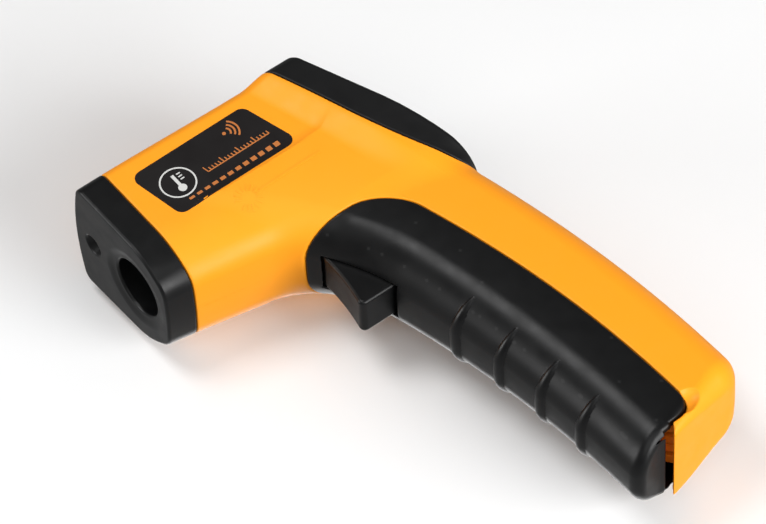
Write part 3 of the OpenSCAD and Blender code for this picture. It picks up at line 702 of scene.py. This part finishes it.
def finish(name, colour, rough, grain=0.3, bump=0.01, mottle=0.04, coat=0.0, metal=0.0, edge=0.0,
           clear=0.0, brushed=False, spec=0.5):
    """A procedural material. grain and bump are in millimetres. edge lightens sharp edges as a painted
    highlight.
    """
    made = bpy.data.materials.new(name)
    made.use_nodes = True
    nodes, links = made.node_tree.nodes, made.node_tree.links
    shader = nodes["Principled BSDF"]
    shader.inputs["Metallic"].default_value = metal
    shader.inputs["Coat Weight"].default_value = coat
    shader.inputs["Coat Roughness"].default_value = 0.12
    shader.inputs["Specular IOR Level"].default_value = spec
    shader.inputs["Transmission Weight"].default_value = clear
    place = nodes.new("ShaderNodeTexCoord").outputs["Object"]
    if brushed:
        stretch = nodes.new("ShaderNodeMapping")
        stretch.inputs["Scale"].default_value = (0.08, 1.0, 1.0)
        links.new(place, stretch.inputs["Vector"])
        place = stretch.outputs["Vector"]

    def noise(size, detail):
        tex = nodes.new("ShaderNodeTexNoise")
        tex.inputs["Scale"].default_value = 1000.0 / size
        tex.inputs["Detail"].default_value = detail
        links.new(place, tex.inputs["Vector"])
        return tex.outputs["Fac"]

    def remap(value, from_low, from_high, to_low, to_high):
        node = nodes.new("ShaderNodeMapRange")
        for socket, number in zip(node.inputs[1:5], (from_low, from_high, to_low, to_high)):
            socket.default_value = number
        links.new(value, node.inputs[0])
        return node.outputs[0]

    def blend(share, a, b):
        node = nodes.new("ShaderNodeMix")
        node.data_type = "RGBA"
        links.new(share, node.inputs["Factor"])
        for socket, value in ((node.inputs[6], a), (node.inputs[7], b)):
            if isinstance(value, tuple):
                socket.default_value = value
            else:
                links.new(value, socket)
        return node.outputs[2]

    def shade(k):
        return tuple(min(1.0, c * k) for c in colour) + (1.0,)

    broad = noise(14.0, 3.0)
    tint = blend(broad, shade(1.0 - mottle), shade(1.0 + mottle))
    # Painted highlight: the colour is lightened by edge on sharp edges, found by pointiness.
    if edge:
        edge_highlight_colour = tuple(min(1.0, c + edge) for c in colour) + (1.0,)
        ridge = remap(nodes.new("ShaderNodeNewGeometry").outputs["Pointiness"], 0.52, 0.6, 0.0, 1.0)
        tint = blend(ridge, tint, edge_highlight_colour)
    links.new(tint, shader.inputs["Base Color"])
    links.new(remap(noise(5.0, 4.0), 0.3, 0.7, rough * 0.88, rough * 1.12), shader.inputs["Roughness"])
    relief = nodes.new("ShaderNodeBump")
    relief.inputs["Strength"].default_value = 1.0
    relief.inputs["Distance"].default_value = bump * MM
    links.new(noise(grain, 2.0), relief.inputs["Height"])
    links.new(relief.outputs["Normal"], shader.inputs["Normal"])
    return made


# In these finishes, edge is a painted highlight along sharp edges.
FINISHES = {
    "orange_shell": dict(colour=(1.0, 0.345, 0.012), rough=0.45, spec=0.25, mottle=0.015, bump=0.004),
    "black_plastic": dict(colour=(0.004, 0.004, 0.0042), rough=0.5, bump=0.012, grain=0.35, edge=0.01,
                          spec=0.28),
    "black_satin": dict(colour=(0.0032, 0.0033, 0.0035), rough=0.36, bump=0.004, edge=0.01, spec=0.25),
    "black_inner": dict(colour=(0.02, 0.02, 0.021), rough=0.5, bump=0.01),
    "clear_window": dict(colour=(0.97, 0.99, 0.98), rough=0.03, clear=1.0, mottle=0.0, bump=0.0),
    "lcd_glass": dict(colour=(0.33, 0.38, 0.29), rough=0.25, mottle=0.03, bump=0.001),
    "white_plastic": dict(colour=(0.8, 0.8, 0.77), rough=0.5),
    "rubber_strip": dict(colour=(0.6, 0.22, 0.26), rough=0.65, bump=0.02),
    "board": dict(colour=(0.012, 0.13, 0.045), rough=0.38, mottle=0.15, bump=0.01),
    "chip_black": dict(colour=(0.012, 0.012, 0.013), rough=0.55, bump=0.015),
    "button_grey": dict(colour=(0.06, 0.06, 0.066), rough=0.62, bump=0.012, edge=0.03),
    "label_black": dict(colour=(0.007, 0.0055, 0.0055), rough=0.42, grain=0.2, bump=0.003, spec=0.3),
    "steel": dict(colour=(0.6, 0.6, 0.62), rough=0.28, metal=1.0, brushed=True),
    "brass": dict(colour=(0.72, 0.5, 0.2), rough=0.26, metal=1.0, brushed=True),
    "lens_film": dict(colour=(0.85, 0.88, 0.86), rough=0.3, mottle=0.01),
    "laser_glass": dict(colour=(0.85, 0.9, 0.95), rough=0.04, clear=0.9, mottle=0.0, bump=0.0),
    "cell_wrap": dict(colour=(0.02, 0.07, 0.2), rough=0.3, coat=0.3),
    "lead_red": dict(colour=(0.45, 0.015, 0.015), rough=0.45),
    "lead_gold": dict(colour=(0.6, 0.42, 0.08), rough=0.45),
    "plunger_red": dict(colour=(0.5, 0.02, 0.015), rough=0.35),
    "print_silver": dict(colour=(0.62, 0.62, 0.6), rough=0.4, bump=0.003),
    "print_orange": dict(colour=(0.5, 0.16, 0.035), rough=0.45, bump=0.003),
    "segment_ink": dict(colour=(0.012, 0.014, 0.016), rough=0.4, bump=0.001),
}
MATERIALS = {name: finish(name, **values) for name, values in FINISHES.items()}


def dress(made, material, slot, body_name, *nodes):
    """Finishes a piece, sets it riding on its body and lets it stand for CAD nodes."""
    made.data.materials.clear()
    made.data.materials.append(MATERIALS[material])
    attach(made, body_name)
    if nodes:
        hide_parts(*nodes)


# ---- moulded pieces ----

LEFT_BOX = ((-106, -1, -130), (-6, 23, 27))
RIGHT_BOX = ((-106, -23, -130), (-6, 1, 27))
NOSE_BOX = ((-13, -20, -16), (1.5, 20, 27))
REAR_BOX = ((-96, -24, -38), (-56, 24, 27))
COVER_BOX = ((-82, -18, -129), (-32, 18, -17))
TRIGGER_BOX = ((-52, -7, -46), (-36, 7, -12))
MODE_BOX = ((-92, -1, -16), (-70, 18, -1))
LIGHT_BOX = ((-92, -18, -16), (-70, 1, -1))
# name, field, box, voxel, finish, body, CAD node it stands for
SKINS = (
    ("left_housing", shell_field(1), LEFT_BOX, 0.42, "orange_shell", "body", "left_shell"),
    ("right_housing", shell_field(-1), RIGHT_BOX, 0.42, "orange_shell", "body", "right_shell"),
    ("nose_ring", nose_cap_field, NOSE_BOX, 0.3, "black_satin", "body", "nose_cap"),
    ("display_frame", rear_bezel_field, REAR_BOX, 0.33, "black_plastic", "body", "rear_bezel"),
    ("grip_cover", battery_door_field, COVER_BOX, 0.36, "black_satin", "door", "battery_door"),
    ("trigger_blade", trigger_field, TRIGGER_BOX, 0.22, "black_satin", "trigger", "trigger"),
    ("mode_key", button_field(1), MODE_BOX, 0.17, "button_grey", "mode_button", "mode_button"),
    ("light_key", button_field(-1), LIGHT_BOX, 0.17, "button_grey", "light_button", "light_button"),
)
for name, field, (low, high), voxel, slot, body_name, node in SKINS:
    dress(grow(name, field, low, high, voxel), slot, slot, body_name, node)

for side, word in ((1, "left"), (-1, "right")):
    place = on_panel(side)
    film = assemble(word + "_label_film", [patch(rounded_outline(LABEL_CORNERS, 2.6), place, -0.25, 0.04)])
    dress(film, "label_black", "label_black", "body", word + "_label")
    dress(assemble(word + "_emblem", label_emblem(place)), "print_silver", "label_black", "body")
    dress(assemble(word + "_scale", label_scale(place)), "print_orange", "label_black", "body")
    dress(assemble(word + "_beam_mark", beam_mark(place)), "orange_shell", "orange_shell", "body")
dress(assemble("display_digits", display_digits()), "segment_ink", "lcd_glass", "body")

slot_of = {row["node"]: row["material_slot"] for row in frame["record"]["subparts"]}
for node, made in frame["nodes"].items():
    if not made.hide_render:
        for holder in made.material_slots:
            holder.material = MATERIALS[slot_of[node]]

# ---- stage, light and camera ----

LYING_Y = -21.7
CAMERA_BACK = Vector((0.3609, 0.7796, -0.5118)).normalized()
CAMERA_ROLL = math.radians(45.5)
CAMERA_AIM = Vector((-49.05, 8.78, -38.37)) * MM
CAMERA_DISTANCE = 1241.1 * MM
CAMERA_LENS = 235.0


def backdrop():
    """Pale floor that the thermometer lies on. Seen from its other side it is clear."""
    size = 3.0
    mesh = bpy.data.meshes.new("floor")
    corners = [(-size, -size), (-size, size), (size, size), (size, -size)]
    mesh.from_pydata([(x, LYING_Y * MM, z) for x, z in corners], [], [(0, 1, 2, 3)])
    made = bpy.data.objects.new("floor", mesh)
    bpy.context.scene.collection.objects.link(made)
    pale = bpy.data.materials.new("floor_pale")
    pale.use_nodes = True
    nodes, links = pale.node_tree.nodes, pale.node_tree.links
    shader = nodes["Principled BSDF"]
    shader.inputs["Base Color"].default_value = (0.86, 0.86, 0.86, 1.0)
    shader.inputs["Roughness"].default_value = 0.7
    clear, mix = nodes.new("ShaderNodeBsdfTransparent"), nodes.new("ShaderNodeMixShader")
    rays, face = nodes.new("ShaderNodeLightPath"), nodes.new("ShaderNodeNewGeometry")

    def math_node(operation):
        node = nodes.new("ShaderNodeMath")
        node.operation = operation
        return node

    seen, front, shown, faint = (math_node(word) for word in ("MAXIMUM", "SUBTRACT", "MULTIPLY", "MULTIPLY"))
    faint.inputs[1].default_value = 0.35
    links.new(rays.outputs["Is Glossy Ray"], faint.inputs[0])
    links.new(rays.outputs["Is Camera Ray"], seen.inputs[0])
    links.new(faint.outputs[0], seen.inputs[1])
    front.inputs[0].default_value = 1.0
    links.new(face.outputs["Backfacing"], front.inputs[1])
    links.new(seen.outputs[0], shown.inputs[0])
    links.new(front.outputs[0], shown.inputs[1])
    links.new(shown.outputs[0], mix.inputs[0])
    links.new(clear.outputs[0], mix.inputs[1])
    links.new(shader.outputs[0], mix.inputs[2])
    links.new(mix.outputs[0], nodes["Material Output"].inputs["Surface"])
    mesh.materials.append(pale)


def soft_light(name, direction, distance, size, power):
    """Square area light that faces the thermometer."""
    data = bpy.data.lights.new(name, "AREA")
    data.shape, data.size, data.energy = "SQUARE", size, power
    made = bpy.data.objects.new(name, data)
    made.location = CAMERA_AIM + Vector(direction).normalized() * distance
    made.rotation_mode = "QUATERNION"
    made.rotation_quaternion = (-Vector(direction)).to_track_quat("-Z", "Y")
    bpy.context.scene.collection.objects.link(made)


def studio_world(ambient, backdrop_level):
    """Even white surroundings: one level lights the object, the other is what the camera sees."""
    world = bpy.data.worlds.new("studio")
    world.use_nodes = True
    nodes, links = world.node_tree.nodes, world.node_tree.links
    light = nodes["Background"]
    light.inputs["Color"].default_value = (1, 1, 1, 1)
    light.inputs["Strength"].default_value = ambient
    seen, mix = nodes.new("ShaderNodeBackground"), nodes.new("ShaderNodeMixShader")
    seen.inputs["Color"].default_value = (1, 1, 1, 1)
    seen.inputs["Strength"].default_value = backdrop_level
    links.new(nodes.new("ShaderNodeLightPath").outputs["Is Camera Ray"], mix.inputs[0])
    links.new(light.outputs[0], mix.inputs[1])
    links.new(seen.outputs[0], mix.inputs[2])
    links.new(mix.outputs[0], nodes["World Output"].inputs["Surface"])
    bpy.context.scene.world = world


backdrop()
studio_world(0.2, 0.95)
soft_light("front_band", (0.82, 0.21, 0.5), 1.1, 0.42, 5.0)
soft_light("key", (0.25, 0.9, 0.3), 1.3, 0.5, 6.2)
soft_light("grip_end", (-0.25, 0.4, -0.88), 1.2, 0.8, 19.0)
soft_light("over_camera", (0.45, 0.8, -0.5), 1.5, 0.9, 4.0)
soft_light("under_fill", (-0.2, -1.0, 0.2), 1.3, 1.0, 9.0)


def aim_camera():
    """Looks along the line to the aim point, rolled about it."""
    camera = bpy.data.objects.new("camera", bpy.data.cameras.new("camera"))
    bpy.context.scene.collection.objects.link(camera)
    camera.data.lens = CAMERA_LENS
    camera.location = CAMERA_AIM + CAMERA_BACK * CAMERA_DISTANCE
    upright = (Vector((0, 0, 1)) - CAMERA_BACK * CAMERA_BACK.z).normalized()
    across = -CAMERA_BACK.cross(upright)
    camera_up = upright * math.cos(CAMERA_ROLL) + across * math.sin(CAMERA_ROLL)
    camera_right = camera_up.cross(CAMERA_BACK)
    camera.rotation_mode = "QUATERNION"
    turn = Matrix((camera_right, camera_up, CAMERA_BACK)).transposed()
    camera.rotation_quaternion = turn.to_quaternion()
    camera.data.clip_start, camera.data.clip_end = 0.01, 20.0
    bpy.context.scene.camera = camera


aim_camera()
bpy.context.scene.view_settings.view_transform = "Standard"
